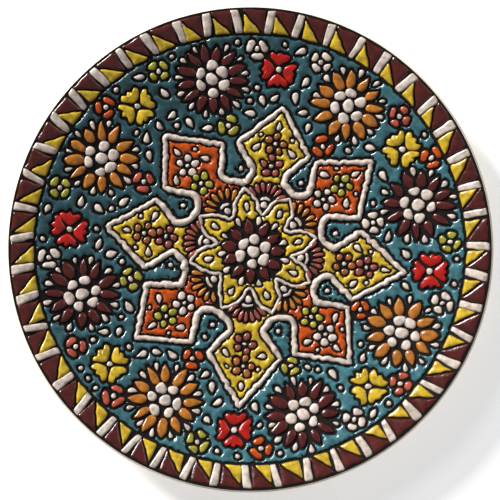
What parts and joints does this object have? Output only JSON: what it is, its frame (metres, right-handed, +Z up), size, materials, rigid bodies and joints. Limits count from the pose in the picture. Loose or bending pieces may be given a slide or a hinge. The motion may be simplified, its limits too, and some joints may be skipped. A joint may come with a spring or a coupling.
{
  "type": "decorative plate",
  "caption": "Round shallow dished plate on a low foot ring, glazed with raised enamel ornament: a border of bars and triangles, pointed medallions round a star, daisies and blossoms.",
  "frame": {"origin": "centre of the foot ring, on the plane that the plate stands on, at the middle of the bounding box's base", "axes": "+Z up through the face of the plate, +Y towards the side that hangs uppermost on a wall"},
  "size_m": [0.2498, 0.2499, 0.0249],
  "materials": {
    "bare_clay": "matt unglazed off-white clay with a dark painted ground between the colours",
    "teal_glaze": "glossy raised glaze over a dark ground",
    "white_enamel": "glossy piped enamel",
    "maroon_enamel": "glossy piped enamel",
    "yellow_enamel": "glossy piped enamel",
    "orange_enamel": "glossy piped enamel",
    "amber_enamel": "glossy piped enamel",
    "red_enamel": "glossy piped enamel",
    "green_enamel": "glossy piped enamel",
    "coral_enamel": "glossy piped enamel"
  },
  "bodies": {
    "root": {"plate": "teal_glaze"}
  },
  "joints": []
}
